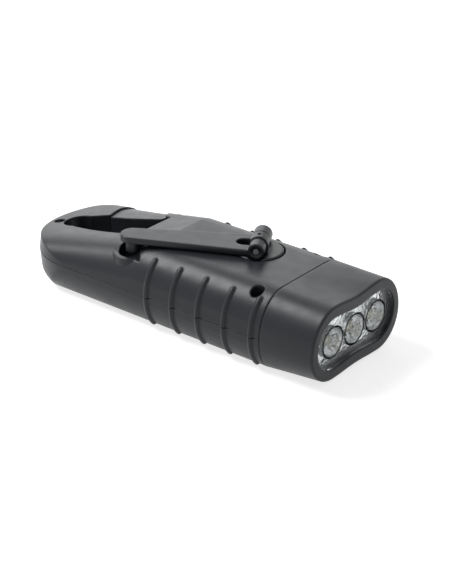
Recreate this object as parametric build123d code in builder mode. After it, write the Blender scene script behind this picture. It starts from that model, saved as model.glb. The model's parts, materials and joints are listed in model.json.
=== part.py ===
"""Hand crank flashlight with a folding crank, three lamps and a clip-on tail loop.

Millimetres. +X points to the lamps, +Z is up, and the flashlight lies on Z = 0 with its
middle above the origin. The case splits along a level parting line into an upper and a
lower shell. The front cover slides over their spigot. The crank stands on a turntable in
the deck and drives the generator through two pairs of step-up gears.
"""

import math
import os

from build123d import *

# ---------------------------------------------------------------- driving dimensions
# Body
body_length = 132.0
half_width = 24.1
parting_z = 12.5            # parting line above the table
deck_rise = 14.3            # deck above the parting line
deck_flat = 12.0            # half width of the flat deck
floor_flat = 16.0           # half width of the flat underside
tail_rise = 3.4             # top of the tail's tip above the parting line
crease_x = -8.5             # where the deck starts to fall toward the tail
tail_draft = 8.0            # degrees
keel_draft = 4.0            # degrees
keel_radius = 7.0
keel_start_x = -46.0        # where the underside starts to rise toward the tip
keel_lift = 8.0             # how far it has risen at the tip
wall = 2.0
cavity_rear_x = -6.0
parting_groove = 0.25       # fine line where two shells meet
running_gap = 0.3           # air between parts that pass each other
shaft_clearance = 0.05      # radial play of a pin in its bore

# Front cover
head_length = 21.0
spigot_wall = 1.3
spigot_length = 4.0
spigot_root = 3.5
spigot_clearance = 0.1
front_rise = 14.0
front_drop = 11.6
front_flat = 12.5           # half width of the flat underside at the front
front_top_pinch = 0.9
front_bottom_pinch = 0.5
front_edge_radius = 0.6
mouth_half_width = 21.0
mouth_centre_rise = 1.0
mouth_rise = 9.2
mouth_drop = 9.0
mouth_top_pinch = 1.0
mouth_bottom_pinch = 0.7
mouth_depth = 3.1

# Grip ribs
rib_pitch = 11.0
rib_count = 5
rib_radius = 1.0
rib_height = 0.8
first_rib_x = -2.5
rib_top_angle = 55.0        # degrees up the flank's ellipse
rib_bottom_angle = 58.0

# Tail loop and gate
loop_front_x = -21.5
loop_near_end_y = -7.2
loop_near_middle = (-38.0, -8.6)
loop_near_rear = (-52.5, -7.0)
loop_tip = (-59.5, -1.5)
loop_hook_root = (-53.5, 3.7)
loop_hook_tip = (-46.4, 7.0)
loop_corner_radius = 3.0
gate_pivot = (-20.5, 17.0)
gate_length = 27.7          # from the pivot to the gate's tip
gate_ear_radius = 6.2
gate_shoulder = 1.7         # the gate starts this far behind the loop on the outside
gate_root_y = 10.8          # gate's inner edge at its root, middle and tip
gate_middle_y = 8.6
gate_tip_y = 6.2
gate_bulge = 1.0            # gate's inner edge stands this far into the loop
gate_knuckle_radius = 5.0
gate_post_radius = 2.4
gate_drop = 0.7             # gate's top below the hook's top
gate_lift = 0.6             # gate's underside above the table
gate_swing = 22.0           # degrees
gate_knuckle_low = -0.6     # heights from the parting line
gate_knuckle_high = 3.9
gate_pocket_half = 4.2
gate_neck_start = 185.0     # degrees about the pivot
gate_neck_end = 230.0
gate_neck_margin = 4.0
gate_spring_wire = 0.8
gate_spring_radius = 3.7
gate_spring_pitch = 1.0
gate_spring_turns = 2

# Crank
crank_centre = (22.5, 5.0)
arm_heading = 208.4         # degrees, stowed arm seen from above
arm_reach = 43.0            # turntable's centre to the knob's axis
hinge_height = 17.0         # hinge axis above the parting line
turntable_radius = 8.2
recess_radius = 8.8
recess_depth = 3.0
turntable_rise = 0.4        # turntable's top above the deck
recess_floor = 2.0
crank_shaft_radius = 3.0
knuckle_radius = 3.2
dimple_radius = 0.7         # gate mark on top of the middle knuckle
dimple_depth = 0.5
near_knuckle_radius = 2.8
hinge_length = 15.0
lug_width = 4.4
arm_slot_width = 5.0
arm_slot_reach = 7.8
arm_thickness = 2.1
arm_root_half = 6.8
arm_tip_half = 4.3
hinge_pin_radius = 0.95
pin_recess_radius = 1.7
pin_recess_depth = 0.6
arm_edge = 0.35
knob_radius = 2.6
knob_top_gap = 0.1
knob_bottom_rise = 10.4     # above the parting line
knob_screw_radius = 0.8
knob_screw_head_radius = 1.5
knob_screw_head_height = 0.9
knob_screw_cover = 0.6      # arm left above the knob's screw
well_radius = 4.9
well_boss_radius = 6.7
well_depth = 2.9            # well's floor below its outer rim
well_rim_rise = 10.1        # rim above the parting line
well_boss_height = 5.6
channel_sweep = 24.0        # degrees of crank travel over the near shoulder

# Gear train
gear_module = 0.6
tooth_height = 0.75         # addendum in modules
tooth_depth = 1.2           # dedendum in modules
tooth_backlash = 0.16
pressure_angle = 20.0
drive_teeth = 44
wheel_teeth = 36
pinion_teeth = 12
wheel_thickness = 1.6
first_axle_bearing = 204.6  # degrees, from the crank's centre
second_axle_bearing = -26.9  # degrees, from the first axle
rotor_bearing = 40.0        # degrees, from the second axle
axle_radius = 0.75
gear_plate_thickness = 1.2
gear_plate_rear_x = -5.6
gear_plate_front_x = 42.0
gear_plate_low_y = -13.0
gear_plate_high_y = 10.5
plate_post_radius = 1.8
axle_boss_radius = 2.2
axle_grip = 2.0             # axle held this deep in the deck's boss
layer_gap = 0.6             # air between two layers of gears
pinion_overlap = 0.4        # pinion stands past the wheel it meets
hub_screw_head_radius = 2.0
hub_screw_head_height = 1.0
hub_screw_radius = 0.9
hub_screw_length = 4.0

# Generator
can_radius = 10.0
can_wall = 0.8
can_floor = 0.8
coil_outer_radius = 8.9
coil_inner_radius = 6.6
coil_height = 5.0
magnet_radius = 6.0
magnet_height = 5.2
magnet_lift = 2.0           # magnet above the can's floor
rotor_shaft_radius = 0.9

# Battery, boards, switch
cell_radius = 10.0
cell_height = 3.2
cell_centre = (6.5, 0.0)
holder_wall = 0.8
holder_base = 1.0
holder_rim = 4.0
contact_thickness = 0.4
contact_width = 5.0
board_thickness = 1.2
main_board_size = (17.0, 6.4)
main_board_centre = (10.5, -15.4)
board_pad_height = 2.0
board_pad_radius = 1.2
capacitor_radius = 2.2
capacitor_height = 4.5
chip_size = (4.0, 3.0, 1.2)
button_centre = (16.2, 13.0)
button_radius = 3.0
button_clearance = 0.08
button_recess = 0.5         # button's face above the table
button_flange_radius = 3.4
button_flange_height = 0.75
button_stem_radius = 1.2
button_stem_height = 1.6
button_travel = 0.8
switch_size = (10.8, 5.0, 5.0)
switch_leg = 1.0
switch_leg_width = 3.6

# Lamps
lamp_pitch = 11.67
lamp_count = 3
cup_radius = 4.95
collar_radius = 5.6
collar_height = 1.9         # collars stand forward of the plate
cup_depth = 6.6
cup_neck_radius = 3.0
cup_curve = (0.4, 0.62)      # the cup's wall passes here, in shares of its depth and width
plate_thickness = 1.2
plate_margin = 0.9          # plate's edge behind the mouth's rim
lens_thickness = 0.7
lens_clearance = 0.08
led_radius = 2.5
led_flange_radius = 2.9
led_flange_height = 1.0
led_body_height = 1.8
lamp_board_thickness = 1.5
lamp_board_half = (17.6, 8.0)
resistor_size = (1.2, 3.2, 1.6)

# Screws and leads
screw_hole_radius = 2.3
tail_hole_radius = 2.0
screw_head_clearance = 0.2
screw_head_height = 1.6
screw_radius = 1.1
screw_play = 0.2
screw_boss_radius = 3.4
screw_slot_width = 0.6
screw_slot_depth = 0.8
front_screw_x = 38.9
front_screw_y = 16.85
front_screw_seat = 5.0      # screw seats above the parting line
gate_screw_seat = 6.7
tail_screw_place = (-61.5, -4.0)
tail_screw_seat = 2.0
screw_bite = 7.0            # how far a screw reaches below the parting line
tail_screw_bite = 4.0
lead_radius = 0.55
lead_bend_radius = 1.8
lead_climb = 2.0            # the leads end this far above the board they leave

# ---------------------------------------------------------------- derived places
front_x = body_length / 2
tail_x = -body_length / 2
seam_x = front_x - head_length
tail_centre_x = tail_x + half_width
deck_z = parting_z + deck_rise
floor_z = wall
hinge_z = parting_z + hinge_height
far = 60.0                  # longer than any cut has to be
cut_margin = 1.0            # cuts reach this far past the face they open

recess_floor_z = deck_z - recess_depth
turntable_top_z = deck_z + turntable_rise
arm_bottom_z = hinge_z - arm_thickness
knob_top_z = arm_bottom_z - knob_top_gap
knob_bottom_z = parting_z + knob_bottom_rise
well_rim_z = parting_z + well_rim_rise
well_floor_z = well_rim_z - well_depth

crank_plane = Plane(
    origin=(crank_centre[0], crank_centre[1], 0),
    x_dir=(math.cos(math.radians(arm_heading)), math.sin(math.radians(arm_heading)), 0),
    z_dir=(0, 0, 1),
)
hinge_plane = Plane(
    origin=(crank_centre[0], crank_centre[1], hinge_z),
    x_dir=crank_plane.x_dir,
    z_dir=crank_plane.y_dir,
)


def step_from(point, bearing, distance):
    """The point at a distance and compass-like angle (degrees from +X) from another."""
    angle = math.radians(bearing)
    return (point[0] + distance * math.cos(angle), point[1] + distance * math.sin(angle))


def pitch_radius(teeth):
    return gear_module * teeth / 2


knob_centre = step_from(crank_centre, arm_heading, arm_reach)
first_distance = pitch_radius(drive_teeth) + pitch_radius(pinion_teeth)
wheel_distance = pitch_radius(wheel_teeth) + pitch_radius(pinion_teeth)
first_axle = step_from(crank_centre, first_axle_bearing, first_distance)
second_axle = step_from(first_axle, second_axle_bearing, wheel_distance)
rotor_centre = step_from(second_axle, rotor_bearing, wheel_distance)

gear_plate_top = parting_z
gear_plate_bottom = gear_plate_top - gear_plate_thickness
low_layer = gear_plate_top + layer_gap                    # second wheel and rotor pinion
middle_layer = low_layer + wheel_thickness + layer_gap    # first wheel, second pinion
top_layer = middle_layer + wheel_thickness + layer_gap + hub_screw_head_height
first_gear_top = top_layer + wheel_thickness + pinion_overlap
second_gear_top = middle_layer + wheel_thickness + pinion_overlap
rotor_pinion_top = low_layer + wheel_thickness + pinion_overlap
first_axle_top = first_gear_top + running_gap + axle_grip
ceiling_z = recess_floor_z - recess_floor
can_bottom_z = floor_z
can_inside_z = can_bottom_z + can_floor
plate_posts = [(-3.6, -11.0), (-3.6, 8.6)]

plate_front_x = front_x - mouth_depth
collar_front_x = plate_front_x + collar_height
cup_back_x = collar_front_x - cup_depth
lamp_z = parting_z + mouth_centre_rise
lamp_board_back_x = cup_back_x - lamp_board_thickness

knob_screw_top = hinge_z - knob_screw_cover
cell_bottom_z = floor_z + holder_base + contact_thickness
board_z = floor_z + board_pad_height
board_top_z = board_z + board_thickness
board_pads = [(main_board_centre[0] - main_board_size[0] / 3, main_board_centre[1]),
              (main_board_centre[0] + main_board_size[0] / 3, main_board_centre[1])]
capacitor_centre = (main_board_centre[0] - main_board_size[0] / 3, main_board_centre[1])
flange_top_z = floor_z + shaft_clearance + button_flange_height
switch_bottom_z = flange_top_z + button_travel + running_gap

screw_places = [
    (front_screw_x, front_screw_y, front_screw_seat, screw_hole_radius, screw_bite),
    (front_screw_x, -front_screw_y, front_screw_seat, screw_hole_radius, screw_bite),
    (gate_pivot[0], gate_pivot[1], gate_screw_seat, screw_hole_radius, screw_bite),
    (tail_screw_place[0], tail_screw_place[1], tail_screw_seat, tail_hole_radius,
     tail_screw_bite),
]


# ---------------------------------------------------------------- profile helpers
def half_section(x, rise, flat, inset=0.0, upward=True):
    """Half of the body's cross-section: flat in the middle, a quarter ellipse each side."""
    height = rise - inset
    side_radius = half_width - inset - flat
    side = 1 if upward else -1
    plane = Plane(origin=(x, 0, parting_z), x_dir=(0, side, 0), z_dir=(1, 0, 0))
    with BuildSketch(plane) as section:
        with BuildLine():
            EllipticalCenterArc((flat, 0), side_radius, height, 0, arc_size=90)
            Line((flat, height), (-flat, height))
            EllipticalCenterArc((-flat, 0), side_radius, height, 90, arc_size=90)
            Line((-flat - side_radius, 0), (flat + side_radius, 0))
        make_face()
    return section.sketch


def full_section(x, rise, drop, top_pinch=0.0, bottom_pinch=0.0, inset=0.0,
                 half=half_width, centre=parting_z, bottom_flat=floor_flat):
    """Whole cross-section. A pinch draws the middle of the top or bottom inward."""
    top = rise - inset
    bottom = drop - inset
    top_radius = half - inset - deck_flat
    bottom_radius = half - inset - bottom_flat
    plane = Plane(origin=(x, 0, centre), x_dir=(0, 1, 0), z_dir=(1, 0, 0))
    with BuildSketch(plane) as section:
        with BuildLine():
            EllipticalCenterArc((deck_flat, 0), top_radius, top, 0, arc_size=90)
            Spline((deck_flat, top), (0, top - top_pinch), (-deck_flat, top),
                   tangents=[(-1, 0), (-1, 0)])
            EllipticalCenterArc((-deck_flat, 0), top_radius, top, 90, arc_size=90)
            EllipticalCenterArc((-bottom_flat, 0), bottom_radius, bottom, 180, arc_size=90)
            Spline((-bottom_flat, -bottom), (0, bottom_pinch - bottom),
                   (bottom_flat, -bottom), tangents=[(1, 0), (1, 0)])
            EllipticalCenterArc((bottom_flat, 0), bottom_radius, bottom, 270, arc_size=90)
        make_face()
    return section.sketch


def mouth_section(x, margin=0.0):
    """The bean-shaped mouth, grown by a margin."""
    return full_section(x, mouth_rise, mouth_drop, mouth_top_pinch, mouth_bottom_pinch,
                        -margin, mouth_half_width, parting_z + mouth_centre_rise,
                        deck_flat)


def body_plan(inset=0.0):
    """Plan outline at the parting line: straight sides and a half-round tail."""
    with BuildSketch(Plane.XY.offset(parting_z)) as plan:
        with Locations((tail_centre_x, 0)):
            Circle(half_width - inset)
            Rectangle(front_x - tail_centre_x, 2 * (half_width - inset),
                      align=(Align.MIN, Align.CENTER))
    return plan.sketch


def upper_form(drop=0.0):
    """Outer form above the parting line, its top lowered by drop."""
    with BuildPart() as form:
        extrude(half_section(seam_x, deck_rise - drop, deck_flat),
                amount=seam_x - crease_x, dir=(-1, 0, 0))
        loft(sections=[
            half_section(crease_x, deck_rise - drop, deck_flat),
            half_section(tail_x - 1, tail_rise - drop, deck_flat),
        ])
        extrude(body_plan(), amount=deck_rise + 1, dir=(0, 0, 1), taper=tail_draft,
                mode=Mode.INTERSECT)
    return form.part


def lower_form():
    """Outer form below the parting line, rising like a keel toward the tail's tip."""
    with BuildPart() as form:
        extrude(body_plan(), amount=parting_z, dir=(0, 0, -1), taper=keel_draft)
        fillet(form.faces().sort_by(Axis.Z)[0].edges().filter_by(
            lambda edge: edge.center().X < front_x - 1), keel_radius)
        extrude(half_section(seam_x, parting_z, floor_flat, upward=False),
                amount=seam_x - tail_x, dir=(-1, 0, 0), mode=Mode.INTERSECT)
        with BuildSketch(Plane.XZ.offset(-far)):
            with BuildLine():
                Line((seam_x + 1, 0), (keel_start_x, 0))
                TangentArc((keel_start_x, 0), (tail_x - 1, keel_lift), tangent=(-1, 0))
                Polyline((tail_x - 1, keel_lift), (tail_x - 1, parting_z + 1),
                         (seam_x + 1, parting_z + 1), (seam_x + 1, 0))
            make_face()
        extrude(amount=2 * far, mode=Mode.INTERSECT)
    return form.part


def rib_bead(x, side, upward):
    """One grip rib's half: a round bead along the flank's ellipse with a round end."""
    flat = deck_flat if upward else floor_flat
    rise = deck_rise if upward else parting_z
    top_angle = rib_top_angle if upward else rib_bottom_angle
    sunk = rib_radius - rib_height
    plane = Plane(origin=(x, 0, parting_z), x_dir=(0, side, 0),
                  z_dir=(side if upward else -side, 0, 0))
    radii = (half_width - flat - sunk, rise - sunk)
    with BuildPart() as bead:
        with BuildLine(plane) as spine:
            EllipticalCenterArc((flat, 0), radii[0], radii[1], 0, arc_size=top_angle)
        with BuildSketch(Plane(origin=spine.line @ 0, x_dir=(1, 0, 0),
                               z_dir=spine.line % 0)):
            Circle(rib_radius)
        sweep()
        with Locations(spine.line @ 1):
            Sphere(rib_radius)
    return bead.part


def rib_beads(upward):
    beads = []
    for index in range(rib_count):
        for side in (-1, 1):
            beads.append(rib_bead(first_rib_x + index * rib_pitch, side, upward))
    return beads


def loop_plan():
    """The tail loop's finger opening, up to the gate."""
    with BuildSketch(Plane.XY) as plan:
        with BuildLine():
            Line((loop_front_x, gate_root_y), (loop_front_x, loop_near_end_y))
            ThreePointArc((loop_front_x, loop_near_end_y), loop_near_middle, loop_near_rear)
            ThreePointArc(loop_near_rear, loop_tip, loop_hook_root)
            Polyline(loop_hook_root, loop_hook_tip, (loop_front_x, gate_root_y))
        make_face()
        corner = plan.vertices().sort_by_distance((loop_front_x, loop_near_end_y, 0))[0]
        fillet(corner, loop_corner_radius)
    return plan.sketch


def gate_band(inner_radius, outer_radius, edge_gap, edge_bulge):
    """Plan of the band swept by the gate, between two radii about its pivot."""
    front = loop_front_x - edge_gap
    outer_front = loop_front_x - gate_shoulder - edge_gap
    rear = gate_pivot[0] - gate_length - 2 * cut_margin
    outside = gate_pivot[1] + far
    with BuildSketch(Plane.XY) as plan:
        with Locations(gate_pivot):
            Circle(outer_radius)
            Circle(inner_radius, mode=Mode.SUBTRACT)
        with BuildLine():
            ThreePointArc((front, gate_root_y), ((front + rear) / 2, gate_middle_y - edge_bulge),
                          (rear, gate_tip_y))
            Polyline((rear, gate_tip_y), (rear, outside), (outer_front, outside),
                     (outer_front, gate_pivot[1]), (front, gate_pivot[1]),
                     (front, gate_root_y))
        make_face(mode=Mode.INTERSECT)
    return plan.sketch


def gate_neck(start, end, reach):
    """Wedge that joins the gate to its knuckle, seen from above."""
    with BuildSketch(Plane.XY.offset(parting_z)) as plan:
        with Locations(gate_pivot):
            Circle(reach)
        with BuildLine():
            Polyline(gate_pivot, step_from(gate_pivot, start, 2 * reach),
                     step_from(gate_pivot, end, 2 * reach), close=True)
        make_face(mode=Mode.INTERSECT)
    return plan.sketch


def gate_heel():
    """Corner of the gate that its swing would press into the loop's front wall."""
    wall_x = loop_front_x - gate_pivot[0] - running_gap
    turned = Location((*gate_pivot, 0), (0, 0, -gate_swing))
    with BuildPart() as corner:
        with Locations(turned * Location((wall_x, 0, 0))):
            Box(far, far, 2 * far, align=(Align.MIN, Align.MAX, Align.MIN))
    return corner.part


def disc(place, radius, low, high):
    """A plain round solid between two heights, for bosses, pins and bores."""
    with BuildPart(Plane.XY.offset(low)) as solid:
        with Locations(place):
            Cylinder(radius, high - low, align=(Align.CENTER, Align.CENTER, Align.MIN))
    return solid.part


def block(place, size, low):
    """A plain box on a height, centred on a place."""
    with BuildPart(Plane.XY.offset(low)) as solid:
        with Locations(place):
            Box(*size, align=(Align.CENTER, Align.CENTER, Align.MIN))
    return solid.part


def edge_groove():
    """Everything outside the body's plan, for the fine line at the parting line."""
    with BuildPart() as ring:
        with BuildSketch(Plane.XY.offset(parting_z)):
            Rectangle(4 * far, 2 * far)
            add(body_plan(parting_groove), mode=Mode.SUBTRACT)
        extrude(amount=parting_groove)
    return ring.part


def cavity_pieces(rise, flat, upward):
    """The hollow of one shell: the gear room and the narrower throat of the spigot."""
    throat = wall + spigot_clearance + spigot_wall
    with BuildPart() as room:
        extrude(half_section(cavity_rear_x, rise, flat, wall, upward),
                amount=seam_x - spigot_root - cavity_rear_x, dir=(1, 0, 0))
        extrude(half_section(seam_x - spigot_root, rise, flat, throat, upward),
                amount=spigot_root + spigot_length, dir=(1, 0, 0))
    return room.part


def spigot_sleeve(rise, flat, upward):
    """Half of the sleeve that carries the front cover."""
    inset = wall + spigot_clearance
    with BuildPart() as sleeve:
        extrude(half_section(seam_x, rise, flat, inset, upward), amount=spigot_length,
                dir=(1, 0, 0))
        extrude(half_section(seam_x, rise, flat, inset + spigot_wall, upward),
                amount=spigot_length, dir=(1, 0, 0), mode=Mode.SUBTRACT)
    return sleeve.part


def inside(form, pieces):
    """Bosses trimmed to the outer form of their shell."""
    with BuildPart() as trimmed:
        for piece in pieces:
            add(piece)
        add(form, mode=Mode.INTERSECT)
    return trimmed.part


# ---------------------------------------------------------------- case
def gate_room(low, high):
    """Round pocket for the gate's knuckle, with the way its neck swings."""
    neck_top = gate_neck(gate_neck_start - gate_neck_margin,
                         gate_neck_end + gate_neck_margin + gate_swing,
                         gate_ear_radius + cut_margin)
    with BuildPart() as room:
        add(disc(gate_pivot, gate_knuckle_radius + running_gap, parting_z + low,
                 parting_z + high))
        extrude(neck_top, amount=high, dir=(0, 0, 1))
        extrude(neck_top, amount=-low, dir=(0, 0, -1))
    return room.part


def channel():
    """Path of the knob over the near shoulder as the crank starts to turn."""
    with BuildPart() as path:
        with BuildSketch(Plane.XY.offset(well_rim_z)):
            with Locations(crank_centre):
                Circle(arm_reach + knob_radius + 2 * running_gap)
                Circle(arm_reach - knob_radius - 2 * running_gap, mode=Mode.SUBTRACT)
            with BuildLine():
                Polyline(crank_centre, step_from(crank_centre, arm_heading, far),
                         step_from(crank_centre, arm_heading + channel_sweep, far),
                         close=True)
            make_face(mode=Mode.INTERSECT)
        extrude(amount=far)
    return path.part


with BuildPart() as upper_case:
    add(upper_form())
    add(disc(knob_centre, well_boss_radius, well_rim_z - well_boss_height, well_rim_z))
    add(rib_beads(True))
    add(cavity_pieces(deck_rise, deck_flat, True), mode=Mode.SUBTRACT)
    add(spigot_sleeve(deck_rise, deck_flat, True))
    add(inside(upper_form(), [
        disc((front_screw_x, front_screw_y), screw_boss_radius, parting_z, deck_z),
        disc((front_screw_x, -front_screw_y), screw_boss_radius, parting_z, deck_z),
        disc(crank_centre, recess_radius + wall, ceiling_z, deck_z),
        disc(first_axle, axle_boss_radius, first_gear_top + running_gap, deck_z),
    ]))
    add(disc(crank_centre, recess_radius, recess_floor_z, deck_z + cut_margin),
        mode=Mode.SUBTRACT)
    add(disc(crank_centre, crank_shaft_radius + shaft_clearance, ceiling_z - cut_margin, deck_z),
        mode=Mode.SUBTRACT)
    add(disc(first_axle, axle_radius, parting_z, first_axle_top), mode=Mode.SUBTRACT)
    add(disc(knob_centre, well_radius, well_floor_z, deck_z + cut_margin), mode=Mode.SUBTRACT)
    add(channel(), mode=Mode.SUBTRACT)
    extrude(loop_plan(), amount=far, dir=(0, 0, 1), mode=Mode.SUBTRACT)
    extrude(gate_band(gate_ear_radius, gate_length + running_gap, 0, gate_bulge), amount=far,
            dir=(0, 0, 1), mode=Mode.SUBTRACT)
    add(gate_room(-cut_margin, gate_pocket_half), mode=Mode.SUBTRACT)
    for x, y, seat, hole_radius, bite in screw_places:
        add(disc((x, y), hole_radius, parting_z + seat, far), mode=Mode.SUBTRACT)
        add(disc((x, y), screw_radius + screw_play, parting_z - cut_margin, parting_z + seat),
            mode=Mode.SUBTRACT)
    add(edge_groove(), mode=Mode.SUBTRACT)

with BuildPart() as lower_case:
    add(lower_form())
    add(rib_beads(False))
    add(cavity_pieces(parting_z, floor_flat, False), mode=Mode.SUBTRACT)
    add(spigot_sleeve(parting_z, floor_flat, False))
    extrude(loop_plan(), amount=far, dir=(0, 0, 1), mode=Mode.SUBTRACT)
    extrude(gate_band(gate_ear_radius, gate_length + running_gap, 0, gate_bulge), amount=far,
            dir=(0, 0, 1), mode=Mode.SUBTRACT)
    add(gate_room(-gate_pocket_half, cut_margin), mode=Mode.SUBTRACT)
    add(disc(gate_pivot, gate_post_radius, parting_z - gate_pocket_half - cut_margin,
             parting_z + gate_pocket_half - running_gap))
    add(inside(lower_form(), [
        disc((front_screw_x, front_screw_y), screw_boss_radius, 0, parting_z),
        disc((front_screw_x, -front_screw_y), screw_boss_radius, 0, parting_z),
        *[disc(place, plate_post_radius, 0, gear_plate_bottom) for place in plate_posts],
        *[disc(place, board_pad_radius, 0, floor_z + board_pad_height)
          for place in board_pads],
    ]))
    add(disc(button_centre, button_radius + button_clearance, -cut_margin, floor_z + cut_margin),
        mode=Mode.SUBTRACT)
    for x, y, seat, hole_radius, bite in screw_places:
        add(disc((x, y), screw_radius, parting_z - bite, far), mode=Mode.SUBTRACT)

with BuildPart() as head_shell:
    loft(sections=[
        full_section(seam_x, deck_rise, parting_z),
        full_section(front_x, front_rise, front_drop, front_top_pinch,
                     front_bottom_pinch, bottom_flat=front_flat),
    ])
    fillet(head_shell.faces().sort_by(Axis.X)[-1].edges(), front_edge_radius)
    extrude(full_section(seam_x, deck_rise, parting_z, inset=wall),
            amount=spigot_length + running_gap, dir=(1, 0, 0), mode=Mode.SUBTRACT)
    loft(sections=[
        full_section(seam_x + spigot_length + running_gap, deck_rise, parting_z, inset=wall),
        full_section(plate_front_x, front_rise, front_drop, front_top_pinch,
                     front_bottom_pinch, inset=wall, bottom_flat=front_flat),
    ], mode=Mode.SUBTRACT)
    extrude(mouth_section(plate_front_x - cut_margin), amount=mouth_depth + 2 * cut_margin,
            dir=(1, 0, 0),
            mode=Mode.SUBTRACT)
    with BuildSketch(Plane.YZ.offset(seam_x)):
        Rectangle(2 * far, 2 * far)
        add(full_section(seam_x, deck_rise, parting_z, inset=parting_groove),
            mode=Mode.SUBTRACT)
    extrude(amount=parting_groove, mode=Mode.SUBTRACT)

with BuildPart() as gate:
    add(upper_form(gate_drop))
    add(lower_form())
    with BuildSketch(Plane.XY.offset(gate_lift)):
        add(gate_band(gate_ear_radius + running_gap, gate_length, running_gap, gate_bulge))
    extrude(amount=far, mode=Mode.INTERSECT)
    add(gate_heel(), mode=Mode.SUBTRACT)
    add(disc(gate_pivot, gate_knuckle_radius, parting_z + gate_knuckle_low,
             parting_z + gate_knuckle_high))
    neck = gate_neck(gate_neck_start, gate_neck_end, gate_ear_radius + 2 * cut_margin)
    extrude(neck, amount=gate_knuckle_high, dir=(0, 0, 1))
    extrude(neck, amount=-gate_knuckle_low, dir=(0, 0, -1))
    add(disc(gate_pivot, gate_post_radius + shaft_clearance, 0, far), mode=Mode.SUBTRACT)

with BuildPart() as gate_spring:
    with BuildLine() as coil:
        Helix(gate_spring_pitch, gate_spring_pitch * gate_spring_turns, gate_spring_radius,
              center=(*gate_pivot, parting_z - gate_pocket_half + gate_spring_wire / 2
                      + shaft_clearance))
    with BuildSketch(Plane(origin=coil.line @ 0, z_dir=coil.line % 0)):
        Circle(gate_spring_wire / 2)
    sweep(is_frenet=True)


# ---------------------------------------------------------------- crank
def on_hinge(radius, low, high):
    """A round solid on the hinge axis, between two distances to the near side."""
    with BuildPart(hinge_plane.offset(low)) as solid:
        Cylinder(radius, high - low, align=(Align.CENTER, Align.CENTER, Align.MIN))
    return solid.part


with BuildPart() as crank_hub:
    with BuildSketch(crank_plane.offset(recess_floor_z + running_gap)):
        Circle(turntable_radius)
    extrude(amount=turntable_top_z - recess_floor_z - running_gap)
    chamfer(crank_hub.edges().sort_by(Axis.Z)[-1], arm_edge)
    add(on_hinge(knuckle_radius + running_gap, -turntable_radius, turntable_radius),
        mode=Mode.SUBTRACT)
    add(on_hinge(knuckle_radius, -lug_width / 2, lug_width / 2))
    with BuildSketch(crank_plane.offset(recess_floor_z + running_gap)):
        Rectangle(2 * knuckle_radius, lug_width)
    extrude(amount=hinge_z - recess_floor_z - running_gap)
    add(disc(crank_centre, crank_shaft_radius, top_layer, recess_floor_z + cut_margin))
    add(disc(crank_centre, hub_screw_radius, top_layer, top_layer + hub_screw_length),
        mode=Mode.SUBTRACT)
    add(on_hinge(hinge_pin_radius, -turntable_radius, turntable_radius), mode=Mode.SUBTRACT)
    add(disc(crank_centre, dimple_radius, hinge_z + knuckle_radius - dimple_depth, far),
        mode=Mode.SUBTRACT)

with BuildPart() as hinge_pin:
    add(on_hinge(hinge_pin_radius, running_gap - hinge_length / 2,
                 hinge_length / 2 - running_gap))

with BuildPart() as crank_arm:
    with BuildSketch(crank_plane.offset(arm_bottom_z)):
        with BuildLine():
            Polyline((0, arm_root_half), (arm_reach, arm_tip_half),
                     (arm_reach, -arm_tip_half), (0, -arm_root_half), close=True)
        make_face()
        with Locations((arm_reach, 0)):
            Circle(arm_tip_half)
    extrude(amount=arm_thickness)
    fillet(crank_arm.faces().sort_by(Axis.Z)[-1].edges(), arm_edge)
    add(on_hinge(near_knuckle_radius, 0, hinge_length / 2))
    add(on_hinge(knuckle_radius, -hinge_length / 2, 0))
    with BuildSketch(crank_plane.offset(arm_bottom_z - 2 * knuckle_radius)):
        with Locations((arm_slot_reach - arm_slot_width / 2, 0)):
            Circle(arm_slot_width / 2)
            Rectangle(2 * arm_slot_reach, arm_slot_width, align=(Align.MAX, Align.CENTER))
    extrude(amount=4 * knuckle_radius, mode=Mode.SUBTRACT)
    add(on_hinge(hinge_pin_radius + shaft_clearance, -far / 2, far / 2), mode=Mode.SUBTRACT)
    add(on_hinge(pin_recess_radius, hinge_length / 2 - pin_recess_depth, hinge_length),
        mode=Mode.SUBTRACT)
    add(disc(knob_centre, knob_screw_radius, arm_bottom_z - cut_margin, knob_screw_top),
        mode=Mode.SUBTRACT)

with BuildPart() as crank_knob:
    add(disc(knob_centre, knob_radius, knob_bottom_z, knob_top_z))
    fillet(crank_knob.edges().filter_by(GeomType.CIRCLE), arm_edge)
    add(disc(knob_centre, knob_screw_radius + shaft_clearance, 0, far), mode=Mode.SUBTRACT)
    add(disc(knob_centre, knob_screw_head_radius + shaft_clearance, 0,
             knob_bottom_z + knob_screw_head_height + 2 * knob_top_gap), mode=Mode.SUBTRACT)


def cross_slot(place, radius, top):
    """The cross cut in a screw's head."""
    with BuildPart(Plane.XY.offset(top - screw_slot_depth)) as slot:
        with Locations(place):
            for angle in (0, 90):
                Box(1.2 * radius, screw_slot_width, 2 * screw_slot_depth,
                    rotation=(0, 0, angle), align=(Align.CENTER, Align.CENTER, Align.MIN))
    return slot.part


with BuildPart() as knob_screw:
    add(disc(knob_centre, knob_screw_head_radius, knob_bottom_z + knob_top_gap,
             knob_bottom_z + knob_top_gap + knob_screw_head_height))
    add(disc(knob_centre, knob_screw_radius, knob_bottom_z + knob_top_gap, knob_screw_top))

with BuildPart() as hub_screw:
    add(disc(crank_centre, hub_screw_head_radius, top_layer - hub_screw_head_height,
             top_layer))
    add(disc(crank_centre, hub_screw_radius, top_layer, top_layer + hub_screw_length))


# ---------------------------------------------------------------- gear train
def involute_half_angle(teeth, radius):
    """Half of a tooth's angle (radians) at a radius, thinned for backlash."""
    pitch = pitch_radius(teeth)
    base = pitch * math.cos(math.radians(pressure_angle))
    at_pitch = math.tan(math.radians(pressure_angle)) - math.radians(pressure_angle)
    here = math.acos(min(1.0, base / radius))
    return (math.pi / (2 * teeth) - tooth_backlash / (4 * pitch)
            + at_pitch - math.tan(here) + here)


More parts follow.
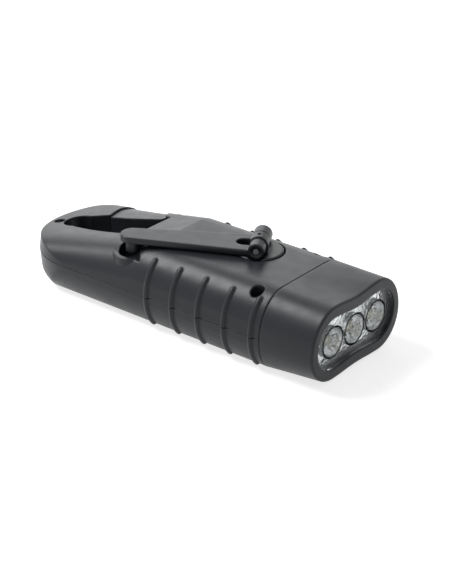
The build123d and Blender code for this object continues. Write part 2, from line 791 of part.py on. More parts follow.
def gear_blank(centre, teeth, low, high, bearing):
    """A spur gear with one tooth pointing along a bearing (degrees)."""
    pitch = pitch_radius(teeth)
    root = pitch - tooth_depth * gear_module
    tip = pitch + tooth_height * gear_module
    radii = [root, (root + pitch) / 2, pitch, (pitch + tip) / 2, tip]
    outline = []
    for tooth in range(teeth):
        middle = math.radians(bearing) + 2 * math.pi * tooth / teeth
        rising = [(radius, middle - involute_half_angle(teeth, radius)) for radius in radii]
        falling = [(radius, middle + involute_half_angle(teeth, radius))
                   for radius in reversed(radii)]
        outline += rising + falling
    points = [(r * math.cos(a), r * math.sin(a)) for r, a in outline]
    with BuildPart() as blank:
        with BuildSketch(Plane(origin=(*centre, low))):
            with BuildLine():
                Polyline(*points, close=True)
            make_face()
        extrude(amount=high - low)
    return blank.part


def gap_bearing(teeth, bearing):
    """Turn a gear by half a tooth, so that a gap faces the bearing."""
    return bearing + 180.0 / teeth


with BuildPart() as drive_gear:
    add(gear_blank(crank_centre, drive_teeth, top_layer, top_layer + wheel_thickness,
                   first_axle_bearing))
    add(disc(crank_centre, 2 * crank_shaft_radius, top_layer, ceiling_z - running_gap))
    add(disc(crank_centre, crank_shaft_radius, 0, far), mode=Mode.SUBTRACT)

with BuildPart() as first_gear:
    add(gear_blank(first_axle, wheel_teeth, middle_layer, middle_layer + wheel_thickness,
                   second_axle_bearing))
    add(gear_blank(first_axle, pinion_teeth, middle_layer, first_gear_top,
                   gap_bearing(pinion_teeth, first_axle_bearing + 180)))
    add(disc(first_axle, axle_radius + shaft_clearance, 0, far), mode=Mode.SUBTRACT)

with BuildPart() as second_gear:
    add(gear_blank(second_axle, wheel_teeth, low_layer, low_layer + wheel_thickness,
                   rotor_bearing))
    add(gear_blank(second_axle, pinion_teeth, low_layer, second_gear_top,
                   gap_bearing(pinion_teeth, second_axle_bearing + 180)))
    add(disc(second_axle, axle_radius + shaft_clearance, 0, far), mode=Mode.SUBTRACT)

with BuildPart() as rotor_pinion:
    add(gear_blank(rotor_centre, pinion_teeth, gear_plate_top + running_gap,
                   rotor_pinion_top, gap_bearing(pinion_teeth, rotor_bearing + 180)))
    add(disc(rotor_centre, rotor_shaft_radius, 0, far), mode=Mode.SUBTRACT)

with BuildPart() as first_axle_pin:
    add(disc(first_axle, axle_radius, gear_plate_bottom, first_axle_top))

with BuildPart() as second_axle_pin:
    add(disc(second_axle, axle_radius, gear_plate_bottom, second_gear_top + running_gap))

with BuildPart() as gear_plate:
    with BuildSketch(Plane.XY.offset(gear_plate_bottom)):
        with Locations(((gear_plate_rear_x + gear_plate_front_x) / 2,
                        (gear_plate_low_y + gear_plate_high_y) / 2)):
            RectangleRounded(gear_plate_front_x - gear_plate_rear_x,
                             gear_plate_high_y - gear_plate_low_y, plate_post_radius)
        with Locations(first_axle, second_axle):
            Circle(axle_radius, mode=Mode.SUBTRACT)
        with Locations(rotor_centre):
            Circle(rotor_shaft_radius + shaft_clearance, mode=Mode.SUBTRACT)
    extrude(amount=gear_plate_thickness)

# ---------------------------------------------------------------- generator
with BuildPart() as generator_can:
    add(disc(rotor_centre, can_radius, can_bottom_z, gear_plate_bottom))
    add(disc(rotor_centre, can_radius - can_wall, can_inside_z, gear_plate_bottom + 1),
        mode=Mode.SUBTRACT)
    add(disc(rotor_centre, rotor_shaft_radius + shaft_clearance, 0, far), mode=Mode.SUBTRACT)

with BuildPart() as stator_coil:
    add(disc(rotor_centre, coil_outer_radius, can_inside_z, can_inside_z + coil_height))
    add(disc(rotor_centre, coil_inner_radius, 0, far), mode=Mode.SUBTRACT)

with BuildPart() as rotor_shaft:
    add(disc(rotor_centre, rotor_shaft_radius, can_bottom_z + shaft_clearance,
             rotor_pinion_top + running_gap))

with BuildPart() as rotor_magnet:
    add(disc(rotor_centre, magnet_radius, can_inside_z + magnet_lift,
             can_inside_z + magnet_lift + magnet_height))
    add(disc(rotor_centre, rotor_shaft_radius, 0, far), mode=Mode.SUBTRACT)

# ---------------------------------------------------------------- battery, boards, switch
with BuildPart() as battery_holder:
    add(disc(cell_centre, cell_radius + holder_wall, floor_z, floor_z + holder_rim))
    add(disc(cell_centre, cell_radius, floor_z + holder_base, far), mode=Mode.SUBTRACT)

with BuildPart() as battery_cell:
    add(disc(cell_centre, cell_radius - shaft_clearance, cell_bottom_z,
             cell_bottom_z + cell_height))
    chamfer(battery_cell.edges().filter_by(GeomType.CIRCLE), contact_thickness)

with BuildPart() as battery_contacts:
    add(block(cell_centre, (contact_width, 2 * contact_width, contact_thickness),
              floor_z + holder_base))
    add(block(cell_centre, (contact_width, 2 * (cell_radius + holder_wall),
                            contact_thickness), cell_bottom_z + cell_height))

with BuildPart() as main_board:
    add(block(main_board_centre, (*main_board_size, board_thickness), board_z))

with BuildPart() as storage_capacitor:
    add(disc(capacitor_centre, capacitor_radius, board_top_z, board_top_z + capacitor_height))

with BuildPart() as rectifier_chip:
    add(block(main_board_centre, chip_size, board_top_z))

with BuildPart() as switch_button:
    add(disc(button_centre, button_radius, button_recess, floor_z + 2 * shaft_clearance))
    add(disc(button_centre, button_flange_radius, floor_z + shaft_clearance, flange_top_z))
    add(disc(button_centre, button_stem_radius, flange_top_z,
             flange_top_z + button_stem_height))

with BuildPart() as switch_body:
    add(block(button_centre, switch_size, switch_bottom_z))
    for side in (-1, 1):
        add(block((button_centre[0] + side * (switch_size[0] - switch_leg) / 2,
                   button_centre[1] - switch_leg),
                  (switch_leg, switch_leg_width, switch_bottom_z - floor_z), floor_z))
    add(disc(button_centre, button_stem_radius + 2 * button_clearance,
             switch_bottom_z - cut_margin,
             flange_top_z + button_stem_height + button_travel + running_gap),
        mode=Mode.SUBTRACT)


def lead(points, radius):
    """One insulated wire laid along straight runs and soft bends."""
    with BuildPart() as wire:
        with BuildLine() as route:
            FilletPolyline(*points, radius=radius)
        with BuildSketch(Plane(origin=route.line @ 0, z_dir=route.line % 0)):
            Circle(lead_radius)
        sweep()
    return wire.part


def lamp_lead(level):
    """Wire from the main board past the generator to the back of the lamp board."""
    height = board_top_z + lead_radius + shaft_clearance + level
    corridor_y = (gear_plate_low_y + rotor_centre[1] - can_radius) / 2
    return lead([
        (main_board_centre[0] + main_board_size[0] / 3, main_board_centre[1], height),
        (rotor_centre[0] - can_radius, corridor_y, height),
        (front_screw_x + screw_boss_radius, corridor_y, height),
        (lamp_board_back_x - 3 * lead_bend_radius, corridor_y / 2, height + lead_climb),
        (lamp_board_back_x - shaft_clearance, corridor_y / 2, height + lead_climb),
    ], lead_bend_radius)


with BuildPart() as lamp_leads:
    add(lamp_lead(0))
    add(lamp_lead(3 * lead_radius))

# ---------------------------------------------------------------- lamps
lamp_rows = [(index - (lamp_count - 1) / 2) * lamp_pitch for index in range(lamp_count)]


def on_lamp(y, radius, low, high):
    """A round solid on one lamp's axis, between two places along X."""
    plane = Plane(origin=(low, y, lamp_z), x_dir=(0, 1, 0), z_dir=(1, 0, 0))
    with BuildPart(plane) as solid:
        Cylinder(radius, high - low, align=(Align.CENTER, Align.CENTER, Align.MIN))
    return solid.part


def cup(y):
    """The hollow of one reflector cup."""
    plane = Plane(origin=(cup_back_x, y, lamp_z), x_dir=(1, 0, 0), z_dir=(0, -1, 0))
    middle = (cup_depth * cup_curve[0],
              cup_neck_radius + (cup_radius - cup_neck_radius) * cup_curve[1])
    with BuildPart() as hollow:
        with BuildSketch(plane):
            with BuildLine():
                Line((0, 0), (0, cup_neck_radius))
                ThreePointArc((0, cup_neck_radius), middle, (cup_depth, cup_radius))
                Polyline((cup_depth, cup_radius), (cup_depth, 0), (0, 0))
            make_face()
        revolve(axis=Axis((cup_back_x, y, lamp_z), (1, 0, 0)))
    return hollow.part


with BuildPart() as reflector:
    extrude(mouth_section(plate_front_x - plate_thickness, plate_margin),
            amount=plate_thickness, dir=(1, 0, 0))
    for y in lamp_rows:
        add(on_lamp(y, collar_radius, cup_back_x, collar_front_x))
    for y in lamp_rows:
        add(cup(y), mode=Mode.SUBTRACT)

with BuildPart() as front_lens:
    extrude(mouth_section(collar_front_x, -lens_clearance), amount=lens_thickness,
            dir=(1, 0, 0))


def lamp(y):
    """A clear lamp: flange, body and domed end."""
    dome_x = cup_back_x + led_flange_height + led_body_height
    with BuildPart() as body:
        add(on_lamp(y, led_flange_radius, cup_back_x, cup_back_x + led_flange_height))
        add(on_lamp(y, led_radius, cup_back_x, dome_x))
        with Locations((dome_x, y, lamp_z)):
            Sphere(led_radius)
    return body.part


with BuildPart() as lamp_board:
    with BuildSketch(Plane.YZ.offset(lamp_board_back_x)):
        with Locations((0, lamp_z)):
            RectangleRounded(2 * lamp_board_half[0], 2 * lamp_board_half[1], wall)
    extrude(amount=lamp_board_thickness)

with BuildPart() as lamp_resistors:
    for y in lamp_rows:
        with Locations((lamp_board_back_x, y, lamp_z + lamp_board_half[1] / 2)):
            Box(*resistor_size, align=(Align.MAX, Align.CENTER, Align.CENTER))

# ---------------------------------------------------------------- screws
with BuildPart() as case_screws:
    for x, y, seat, hole_radius, bite in screw_places:
        head_radius = hole_radius - screw_head_clearance
        head_top = parting_z + seat + screw_head_height
        add(disc((x, y), head_radius, parting_z + seat, head_top))
        add(disc((x, y), screw_radius, parting_z - bite, parting_z + seat))
        add(cross_slot((x, y), head_radius, head_top), mode=Mode.SUBTRACT)

# ---------------------------------------------------------------- write the pieces
pieces = {
    "upper_case": upper_case.part,
    "lower_case": lower_case.part,
    "head_shell": head_shell.part,
    "front_lens": front_lens.part,
    "reflector": reflector.part,
    "lamp_left": lamp(lamp_rows[2]),
    "lamp_middle": lamp(lamp_rows[1]),
    "lamp_right": lamp(lamp_rows[0]),
    "lamp_board": lamp_board.part,
    "lamp_resistors": lamp_resistors.part,
    "lamp_leads": lamp_leads.part,
    "crank_hub": crank_hub.part,
    "hub_screw": hub_screw.part,
    "hinge_pin": hinge_pin.part,
    "crank_arm": crank_arm.part,
    "knob_screw": knob_screw.part,
    "crank_knob": crank_knob.part,
    "drive_gear": drive_gear.part,
    "first_gear": first_gear.part,
    "second_gear": second_gear.part,
    "first_axle": first_axle_pin.part,
    "second_axle": second_axle_pin.part,
    "gear_plate": gear_plate.part,
    "generator_can": generator_can.part,
    "stator_coil": stator_coil.part,
    "rotor_shaft": rotor_shaft.part,
    "rotor_pinion": rotor_pinion.part,
    "rotor_magnet": rotor_magnet.part,
    "battery_holder": battery_holder.part,
    "battery_cell": battery_cell.part,
    "battery_contacts": battery_contacts.part,
    "main_board": main_board.part,
    "storage_capacitor": storage_capacitor.part,
    "rectifier_chip": rectifier_chip.part,
    "switch_button": switch_button.part,
    "switch_body": switch_body.part,
    "gate": gate.part,
    "gate_spring": gate_spring.part,
    "case_screws": case_screws.part,
}

os.makedirs("parts", exist_ok=True)
for name, piece in pieces.items():
    piece.label = name
    export_step(piece, f"parts/{name}.step")
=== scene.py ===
# %% [markdown]
# # A hand crank flashlight in black ABS
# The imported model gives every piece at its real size, in metres, with +X toward the
# lamps and +Z up. This lesson keeps those pieces where they are, softens their moulded
# edges, gives each its finish, adds the small things that only show from close by, and
# lights the whole like a product photograph.

# %% Load the frame
import json
import math

import bmesh
import bpy
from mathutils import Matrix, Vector


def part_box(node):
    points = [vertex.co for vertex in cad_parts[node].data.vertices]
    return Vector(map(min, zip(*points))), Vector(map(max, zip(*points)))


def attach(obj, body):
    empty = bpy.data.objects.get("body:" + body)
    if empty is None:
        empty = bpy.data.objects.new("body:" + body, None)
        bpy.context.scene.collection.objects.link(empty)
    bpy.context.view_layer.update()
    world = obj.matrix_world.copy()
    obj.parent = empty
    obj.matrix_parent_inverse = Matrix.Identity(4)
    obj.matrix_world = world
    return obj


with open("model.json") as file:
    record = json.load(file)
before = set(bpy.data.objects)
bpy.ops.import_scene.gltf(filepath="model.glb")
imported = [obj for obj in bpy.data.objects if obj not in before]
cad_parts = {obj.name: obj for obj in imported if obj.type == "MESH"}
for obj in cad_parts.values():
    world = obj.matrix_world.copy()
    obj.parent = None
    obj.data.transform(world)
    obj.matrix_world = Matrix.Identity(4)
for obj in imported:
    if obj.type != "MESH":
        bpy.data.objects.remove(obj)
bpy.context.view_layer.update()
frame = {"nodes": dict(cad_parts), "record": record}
nodes = frame["nodes"]
MM = 0.001

# %% [markdown]
# ## Camera first
# A product photograph of something this small is taken with a long lens from half a
# metre away, so lines hardly converge. The camera is placed by an azimuth, an elevation
# and a distance from the point it looks at, which keeps the three easy to change.

# %% Camera
IMAGE_SIZE = (452, 584)
SENSOR_WIDTH = 36.0
FOCAL_PIXELS = 1629.0
CAMERA_AZIMUTH = math.radians(39.1)
CAMERA_ELEVATION = math.radians(26.55)
CAMERA_DISTANCE = 550 * MM
LOOK_AT = Vector((12.25, 0, 10.0)) * MM

away = Vector((
    math.sin(CAMERA_AZIMUTH) * math.cos(CAMERA_ELEVATION),
    -math.cos(CAMERA_AZIMUTH) * math.cos(CAMERA_ELEVATION),
    math.sin(CAMERA_ELEVATION),
))
camera = bpy.data.objects.new("camera", bpy.data.cameras.new("camera"))
bpy.context.scene.collection.objects.link(camera)
camera.data.sensor_width = SENSOR_WIDTH
camera.data.lens = FOCAL_PIXELS / max(IMAGE_SIZE) * SENSOR_WIDTH
camera.rotation_mode = "QUATERNION"
camera.location = LOOK_AT + away * CAMERA_DISTANCE
camera.rotation_quaternion = away.to_track_quat("Z", "Y")
bpy.context.scene.camera = camera
bpy.context.scene.view_settings.view_transform = "Standard"
print("lens:", round(camera.data.lens, 1), "mm")

# %% [markdown]
# ## Helpers for materials
# Hex colours are written as a screen shows them (sRGB), while shaders work in linear
# light, so one function turns the one into the other. One more function adds a node with
# its settings and links, and every material below is built from those two.

# %% Material helpers
def linear(hex_colour):
    """An sRGB hex colour as linear RGBA."""
    channels = [int(hex_colour[i:i + 2], 16) / 255 for i in (1, 3, 5)]
    return (*(c / 12.92 if c <= 0.04045 else ((c + 0.055) / 1.055) ** 2.4
              for c in channels), 1.0)


def add_node(tree, kind, settings=None, values=None, links=None):
    """Adds a node. links maps an input's name to another node's output socket."""
    node = tree.nodes.new(kind)
    for name, value in (settings or {}).items():
        setattr(node, name, value)
    for name, value in (values or {}).items():
        node.inputs[name].default_value = value
    for name, socket in (links or {}).items():
        tree.links.new(socket, node.inputs[name])
    return node


def new_material(name, **values):
    """A material with one Principled shader, whose sockets take the given values."""
    material = bpy.data.materials.new(name)
    material.use_nodes = True
    shader = material.node_tree.nodes["Principled BSDF"]
    for socket, value in values.items():
        shader.inputs[socket.replace("_", " ")].default_value = value
    return material, material.node_tree, shader


def grain(tree, shader, size_mm, depth_mm, strength=1.0, detail=2.0):
    """Surface relief from noise, size_mm across. Returns the coordinate and bump nodes."""
    place = add_node(tree, "ShaderNodeTexCoord")
    noise = add_node(tree, "ShaderNodeTexNoise",
                     values={"Scale": 1 / (size_mm * MM), "Detail": detail},
                     links={"Vector": place.outputs["Object"]})
    bump = add_node(tree, "ShaderNodeBump",
                    values={"Strength": strength, "Distance": depth_mm * MM},
                    links={"Height": noise.outputs["Fac"]})
    tree.links.new(bump.outputs["Normal"], shader.inputs["Normal"])
    return place, bump


def vary(tree, shader, socket, place, size_mm, low, high):
    """Lets a shader value drift between low and high over patches size_mm across."""
    noise = add_node(tree, "ShaderNodeTexNoise",
                     values={"Scale": 1 / (size_mm * MM), "Detail": 3.0},
                     links={"Vector": place.outputs["Object"]})
    ramp = add_node(tree, "ShaderNodeMapRange",
                    values={"From Min": 0.3, "From Max": 0.7, "To Min": low, "To Max": high},
                    links={"Value": noise.outputs["Fac"]})
    tree.links.new(ramp.outputs["Result"], shader.inputs[socket])


def tint(tree, shader, place, size_mm, first, second):
    """Lets the base colour drift between two close shades."""
    noise = add_node(tree, "ShaderNodeTexNoise",
                     values={"Scale": 1 / (size_mm * MM), "Detail": 4.0},
                     links={"Vector": place.outputs["Object"]})
    mix = add_node(tree, "ShaderNodeMix", {"data_type": "RGBA"},
                   links={"Factor": noise.outputs["Fac"]})
    mix.inputs[6].default_value = linear(first)
    mix.inputs[7].default_value = linear(second)
    tree.links.new(mix.outputs[2], shader.inputs["Base Color"])


print("helpers ready")

# %% [markdown]
# ## Black ABS, moulded
# The case, gate and crank are injection-moulded ABS from a mould that was spark-eroded to
# a fine even grain. The grain spreads highlights into soft bands, so black plastic looks
# mid grey where it mirrors the studio and nearly black where it does not. The real grain
# is about 0.05 mm, too fine for this picture, so it is drawn at 0.3 mm and kept shallow.
# A mould has no sharp corners, and every edge catches a thin line of light. Bevelling the
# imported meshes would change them, so a Bevel node rounds the edges in the shading alone.

# %% ABS
GRAIN_MM = 0.3
EDGE_ROUND_MM = 0.9
moulded_abs, tree, shader = new_material(
    "moulded_abs", Roughness=0.36, IOR=1.53, Specular_IOR_Level=0.26)
place, bump = grain(tree, shader, GRAIN_MM, 0.012, strength=0.5)
rounded = add_node(tree, "ShaderNodeBevel", {"samples": 8}, {"Radius": EDGE_ROUND_MM * MM})
tree.links.new(rounded.outputs["Normal"], bump.inputs["Normal"])
tint(tree, shader, place, 7.0, "#202327", "#25282D")
vary(tree, shader, "Roughness", place, 5.0, 0.32, 0.40)
print("ABS grain:", GRAIN_MM, "mm, edges:", EDGE_ROUND_MM, "mm")

# %% [markdown]
# ## Clear acrylic and clear epoxy
# The window is a flat moulding of clear acrylic, and each lamp is cast in clear epoxy.
# Both are colourless, so what the eye reads is a faint sheen and the bent view of what
# lies behind. On the real window that sheen is hardly seen, so its IOR is matched down
# from 1.49. A little uneven roughness stands for the flow of the moulding.

# %% Clear plastics
clear_acrylic, tree, shader = new_material(
    "clear_acrylic", Base_Color=linear("#F6F8F8"), Roughness=0.02, IOR=1.06,
    Transmission_Weight=1.0)
place, _ = grain(tree, shader, 9.0, 0.004, strength=0.3)
vary(tree, shader, "Roughness", place, 8.0, 0.0, 0.02)

clear_epoxy, tree, shader = new_material(
    "clear_epoxy", Base_Color=linear("#F8F9F7"), Roughness=0.02, IOR=1.5,
    Transmission_Weight=1.0)
place, _ = grain(tree, shader, 1.6, 0.004, strength=0.4)
vary(tree, shader, "Roughness", place, 1.5, 0.0, 0.03)
print("clear plastics:", clear_acrylic.name, clear_epoxy.name)

# %% [markdown]
# ## Vacuum-chromed reflector
# The reflector is ABS with aluminium evaporated onto it in a vacuum and lacquered. The
# layer is thin and the lacquer a little milky, so part of the light scatters, and the
# finish is not quite a full metal. The face is stippled in lumps of about half a
# millimetre, and the cups are hammered into facets a little over a millimetre wide, so
# that each one throws a patch of light.

# %% Reflector
FACET_MM = 1.3
STIPPLE_MM = 0.55
vacuum_chrome, tree, shader = new_material("vacuum_chrome", Metallic=0.8, Roughness=0.2)
place, bump = grain(tree, shader, STIPPLE_MM, 0.03, strength=0.5, detail=1.0)
facets = add_node(tree, "ShaderNodeTexVoronoi", {"feature": "F1"},
                  {"Scale": 1 / (FACET_MM * MM)}, {"Vector": place.outputs["Object"]})
hammered = add_node(tree, "ShaderNodeBump", values={"Strength": 0.8, "Distance": 0.2 * MM},
                    links={"Height": facets.outputs["Distance"],
                           "Normal": bump.outputs["Normal"]})
tree.links.new(hammered.outputs["Normal"], shader.inputs["Normal"])
tint(tree, shader, place, 3.0, "#E2E3E5", "#F6F6F6")
vary(tree, shader, "Roughness", place, 1.2, 0.06, 0.16)
print("reflector facets:", FACET_MM, "mm, stipple:", STIPPLE_MM, "mm")

# %% [markdown]
# ## Steel, brass, copper and ferrite
# Screws are zinc plated, which leaves a cool, slightly cloudy grey. The case screws sit deep
# in their holes, so their zinc is painted nearly black as painted shade for those holes.
# Pins and axles are ground, so they are smoother.
# The generator's can and the battery's contacts are nickel plated. The coil is copper wire
# under red-brown enamel, the pinion is cut from brass and the rotor is sintered ferrite,
# dark and matt.

# %% Metals
def metal(name, first, second, rough_low, rough_high, patch_mm, grain_mm, depth_mm):
    """A bare or plated metal with cloudy colour, uneven gloss and a fine grain."""
    material, tree, shader = new_material(name, Metallic=1.0)
    place, _ = grain(tree, shader, grain_mm, depth_mm, strength=0.4)
    tint(tree, shader, place, patch_mm, first, second)
    vary(tree, shader, "Roughness", place, patch_mm / 2, rough_low, rough_high)
    return material


zinc_plate = metal("zinc_plate", "#A9ACB0", "#C2C5C8", 0.28, 0.42, 2.0, 0.3, 0.01)
# Painted shade: the case screws are coloured near black to stand for the shade deep in their
# holes.
painted_shade_zinc = metal("painted_shade_zinc", "#2A2A2C", "#343437", 0.4, 0.55, 2.0, 0.3, 0.01)
ground_steel = metal("ground_steel", "#B4B5B7", "#C9CACC", 0.16, 0.28, 3.0, 0.25, 0.006)
nickel_plate = metal("nickel_plate", "#B9B6AE", "#CDCBC4", 0.2, 0.34, 4.0, 0.3, 0.008)
cut_brass = metal("cut_brass", "#C0A052", "#D6B868", 0.2, 0.32, 1.5, 0.2, 0.008)
print("materials so far:", len(bpy.data.materials))

# %% [markdown]
# The coil's turns lie side by side round the generator's axis, so bands of a wire's width
# run up its height. A wave texture repeats 20 / tau times a unit at a scale of one, which
# the scale here allows for. The magnet is a pressed ceramic and only needs a dull grain.

# %% Coil and magnet
WIRE_MM = 0.3
WAVE_REPEATS = 20 / math.tau
enamelled_copper, tree, shader = new_material(
    "enamelled_copper", Metallic=0.85, Roughness=0.3, Coat_Weight=0.5)
place = add_node(tree, "ShaderNodeTexCoord")
turns = add_node(tree, "ShaderNodeTexWave", {"bands_direction": "Z"},
                 {"Scale": 1 / (WIRE_MM * MM * WAVE_REPEATS), "Distortion": 0.3},
                 {"Vector": place.outputs["Object"]})
bump = add_node(tree, "ShaderNodeBump", values={"Strength": 0.7, "Distance": 0.1 * MM},
                links={"Height": turns.outputs["Fac"]})
tree.links.new(bump.outputs["Normal"], shader.inputs["Normal"])
tint(tree, shader, place, 2.0, "#8A3F1E", "#A8542A")

sintered_ferrite, tree, shader = new_material("sintered_ferrite", Roughness=0.7)
place, _ = grain(tree, shader, 0.25, 0.02, strength=0.6)
tint(tree, shader, place, 2.0, "#2B2B2D", "#37373A")
print("wire:", WIRE_MM, "mm")

# %% [markdown]
# ## Plastics and boards inside
# The gears are acetal, naturally milky white and a little waxy. The boards are glass
# cloth in green resin, and the cloth's weave of about 0.6 mm shows faintly through it.
# Chips and the capacitor are black epoxy, the wires have a PVC sheath, and the switch's
# cap is silicone rubber.

# %% Other plastics
def plastic(name, first, second, rough_low, rough_high, grain_mm, depth_mm, **values):
    """A moulded plastic or rubber with a fine grain and a slight drift of shade."""
    material, tree, shader = new_material(name, **values)
    place, _ = grain(tree, shader, grain_mm, depth_mm, strength=0.5)
    tint(tree, shader, place, 4.0, first, second)
    vary(tree, shader, "Roughness", place, 3.0, rough_low, rough_high)
    return material


moulded_acetal = plastic("moulded_acetal", "#DEDDD3", "#E8E7DF", 0.34, 0.44, 0.3, 0.006,
                         IOR=1.48, Subsurface_Weight=0.05)
black_epoxy = plastic("black_epoxy", "#1E1E20", "#252528", 0.5, 0.62, 0.25, 0.01)
pvc_sheath = plastic("pvc_sheath", "#8E1B18", "#A02420", 0.35, 0.45, 0.4, 0.006)
silicone_rubber = plastic("silicone_rubber", "#2A2A2C", "#313134", 0.6, 0.72, 0.35, 0.015,
                          Sheen_Weight=0.1)

WEAVE_MM = 0.6
glass_laminate, tree, shader = new_material("glass_laminate", Roughness=0.35)
place = add_node(tree, "ShaderNodeTexCoord")
weave = add_node(tree, "ShaderNodeTexBrick", {"offset": 0.5},
                 {"Scale": 1 / (4 * WEAVE_MM * MM), "Mortar Size": 0.02,
                  "Color1": linear("#1E5A32"), "Color2": linear("#236339"),
                  "Mortar": linear("#1A4F2B")},
                 {"Vector": place.outputs["Object"]})
tree.links.new(weave.outputs["Color"], shader.inputs["Base Color"])
vary(tree, shader, "Roughness", place, 3.0, 0.28, 0.4)
print("materials so far:", len(bpy.data.materials))

# %% [markdown]
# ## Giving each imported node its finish
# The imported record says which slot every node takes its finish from, so one table from
# slot to material dresses all of them.

# %% Dress the nodes
FINISH = {
    "case_abs": moulded_abs, "clear_acrylic": clear_acrylic, "chromed_abs": vacuum_chrome,
    "lamp_epoxy": clear_epoxy, "board_laminate": glass_laminate,
    "component_black": black_epoxy, "lead_insulation": pvc_sheath,
    "zinc_screw": zinc_plate, "steel_pin": ground_steel, "gear_acetal": moulded_acetal,
    "plated_steel": nickel_plate, "copper_winding": enamelled_copper,
    "pinion_brass": cut_brass, "ferrite_magnet": sintered_ferrite,
    "button_rubber": silicone_rubber,
}
slot_of = {part["node"]: part["material_slot"] for part in frame["record"]["subparts"]}
for name, node in nodes.items():
    for material_slot in node.material_slots:
        material_slot.material = FINISH[slot_of[name]]
# The case screws get the near-black zinc, which is painted shade for their deep holes.
for material_slot in nodes["case_screws"].material_slots:
    material_slot.material = painted_shade_zinc
print("dressed", len(nodes), "nodes in", len(set(slot_of.values())), "finishes")

# %% [markdown]
# ## Inside each lamp
# Through the clear epoxy of a 5 mm lamp the eye finds two metal posts, a bright metal cup
# and a spot of yellow phosphor in it. The dome enlarges them until the cup fills it. The
# cup is one profile spun round the lamp's axis, which runs along X.

# %% A piece from a bmesh
def new_piece(name, shape, material, body="case"):
    """Turns a bmesh into a piece that rides on a body."""
    bmesh.ops.recalc_face_normals(shape, faces=shape.faces)
    mesh = bpy.data.meshes.new(name)
    shape.to_mesh(mesh)
    shape.free()
    mesh.materials.append(material)
    piece = bpy.data.objects.new(name, mesh)
    bpy.context.scene.collection.objects.link(piece)
    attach(piece, body)
    return piece


def spun(profile, steps=32):
    """A closed turned shape round the X axis, from (x, radius) pairs in millimetres."""
    shape = bmesh.new()
    points = [shape.verts.new((x * MM, 0, radius * MM)) for x, radius in profile]
    edges = [shape.edges.new(pair) for pair in zip(points, points[1:])]
    bmesh.ops.spin(shape, geom=points + edges, axis=(1, 0, 0), cent=(0, 0, 0),
                   angle=math.tau, steps=steps, use_merge=True)
    bmesh.ops.remove_doubles(shape, verts=shape.verts, dist=0.001 * MM)
    return shape


def smooth(piece, degrees=35):
    """Shades the piece smooth except over edges sharper than the angle."""
    with bpy.context.temp_override(object=piece, active_object=piece,
                                   selected_editable_objects=[piece]):
        bpy.ops.object.shade_smooth_by_angle(angle=math.radians(degrees))


print("piece helpers ready")

# %% [markdown]
# Each piece is a new bmesh in millimetres, moved to its lamp's back face and centre line,
# and rides with the case.

# %% Lamp insides
phosphor_gel = plastic("phosphor_gel", "#D9C46A", "#E6D586", 0.4, 0.55, 0.2, 0.01)
LAMP_NAMES = ["lamp_left", "lamp_middle", "lamp_right"]
POST_MM = (1.0, 0.5, 0.45)
POST_BACK_MM = 0.25
POST_SIDE_MM = 0.62
CUP = [(1.3, 0), (1.3, 1.5), (3.0, 2.15), (3.0, 2.05), (1.6, 1.35), (1.6, 0)]
PHOSPHOR = [(1.65, 0), (1.65, 0.8), (1.9, 0.78), (1.98, 0.5), (2.0, 0)]
for lamp_name in LAMP_NAMES:
    low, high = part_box(lamp_name)
    middle = Vector((low[0], (low[1] + high[1]) / 2, (low[2] + high[2]) / 2))
    cup = spun(CUP)
    for side in (-1, 1):
        post = bmesh.ops.create_cube(cup, size=MM)["verts"]
        bmesh.ops.scale(cup, verts=post, vec=POST_MM)
        bmesh.ops.translate(
            cup, verts=post,
            vec=((POST_BACK_MM + POST_MM[0] / 2) * MM, side * POST_SIDE_MM * MM, 0))
    bmesh.ops.translate(cup, verts=cup.verts, vec=middle)
    smooth(new_piece(lamp_name + "_posts", cup, nickel_plate))

    phosphor = spun(PHOSPHOR)
    bmesh.ops.translate(phosphor, verts=phosphor.verts, vec=middle)
    smooth(new_piece(lamp_name + "_phosphor", phosphor, phosphor_gel))
print("lamps filled:", len(LAMP_NAMES))

# %% [markdown]
# ## Floor and light
# The object lies on a white sweep. The floor keeps the object's soft shadow, and adds
# just enough of its own brightness, to the eye, to mirrors and to glass, to read as white.
# Far from the object the lamps fade, so there it adds a little more. Both the floor and
# the world tell such rays apart, so one helper does it for them.

# %% Rays that reach the eye, mirrors or glass
def seen_rays(tree):
    """A socket that is 1 for camera, glossy and transmission rays, and 0 for the rest."""
    ray = add_node(tree, "ShaderNodeLightPath")
    seen = add_node(tree, "ShaderNodeMath", {"operation": "MAXIMUM"},
                    links={0: ray.outputs["Is Camera Ray"], 1: ray.outputs["Is Glossy Ray"]})
    seen = add_node(tree, "ShaderNodeMath", {"operation": "MAXIMUM"},
                    links={0: seen.outputs[0], 1: ray.outputs["Is Transmission Ray"]})
    return seen.outputs[0]


print("ray helper ready")

# %% [markdown]
# The floor's own brightness grows between two distances from the object, in metres.

# %% Floor
FLOOR_HALF = 3.0
GLOW_FROM, GLOW_TO = 0.15, 0.6
GLOW_NEAR, GLOW_FAR = 0.74, 0.9
white_sweep, tree, shader = new_material(
    "white_sweep", Base_Color=linear("#D2D2D2"), Roughness=0.9, Specular_IOR_Level=0.0)
place = add_node(tree, "ShaderNodeTexCoord")
reach = add_node(tree, "ShaderNodeVectorMath", {"operation": "LENGTH"},
                 links={0: place.outputs["Object"]})
spread = add_node(tree, "ShaderNodeMapRange",
                  values={"From Min": GLOW_FROM, "From Max": GLOW_TO,
                          "To Min": GLOW_NEAR, "To Max": GLOW_FAR},
                  links={"Value": reach.outputs["Value"]})
glow = add_node(tree, "ShaderNodeEmission", values={"Color": (1, 1, 1, 1)})
dim = add_node(tree, "ShaderNodeMath", {"operation": "MULTIPLY"},
               links={0: seen_rays(tree), 1: spread.outputs["Result"]})
tree.links.new(dim.outputs[0], glow.inputs["Strength"])
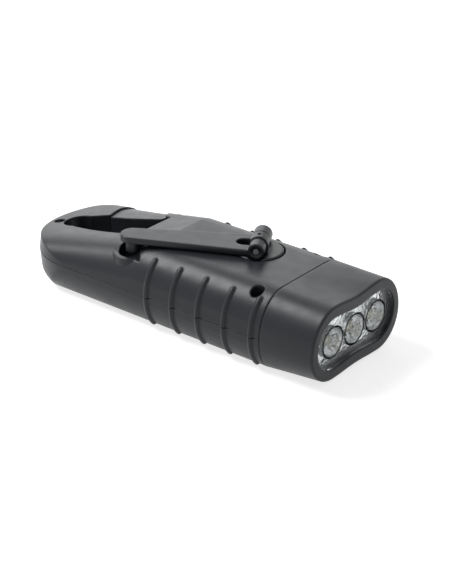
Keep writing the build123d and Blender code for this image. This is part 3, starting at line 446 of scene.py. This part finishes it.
both = add_node(tree, "ShaderNodeAddShader",
                links={0: shader.outputs[0], 1: glow.outputs[0]})
tree.links.new(both.outputs[0], tree.nodes["Material Output"].inputs["Surface"])

sheet = bmesh.new()
bmesh.ops.create_grid(sheet, x_segments=1, y_segments=1, size=FLOOR_HALF)
mesh = bpy.data.meshes.new("floor")
sheet.to_mesh(mesh)
sheet.free()
mesh.materials.append(white_sweep)
floor = bpy.data.objects.new("floor", mesh)
bpy.context.scene.collection.objects.link(floor)
print("floor:", 2 * FLOOR_HALF, "m")

# %% [markdown]
# The world is a white room to the eye and to whatever mirrors it, but lights the object
# only a little, so that the shadows stay.

# %% World
WORLD_FILL = 0.25
world = bpy.data.worlds.new("studio")
world.use_nodes = True
bpy.context.scene.world = world
tree = world.node_tree
level = add_node(tree, "ShaderNodeMapRange",
                 values={"From Min": 0.0, "From Max": 1.0, "To Min": WORLD_FILL, "To Max": 1.0},
                 links={"Value": seen_rays(tree)})
backdrop = tree.nodes["Background"]
backdrop.inputs["Color"].default_value = (1, 1, 1, 1)
tree.links.new(level.outputs["Result"], backdrop.inputs["Strength"])
print("world fill:", WORLD_FILL)

# %% [markdown]
# One softbox hangs over the tail, where the rounded shoulders mirror it. A second stands
# behind, low enough for the flat deck and the arm to mirror it toward the camera. Each is
# set by its direction from the object, its distance and size in metres and its power.

# %% Softboxes
def softbox(name, direction, distance, size, watts):
    """A square lamp that faces the object from a direction."""
    light = bpy.data.lights.new(name, "AREA")
    light.shape = "SQUARE"
    light.size = size
    light.energy = watts
    lamp = bpy.data.objects.new(name, light)
    bpy.context.scene.collection.objects.link(lamp)
    toward = Vector(direction).normalized()
    lamp.location = toward * distance
    lamp.rotation_mode = "QUATERNION"
    lamp.rotation_quaternion = toward.to_track_quat("Z", "Y")
    return lamp


softbox("softbox_tail", (-0.56, -0.24, 0.79), distance=0.7, size=0.32, watts=4.2)
softbox("softbox_back", (-0.66, 0.60, 0.46), distance=0.7, size=0.5, watts=1.0)
print("softboxes:", 2)
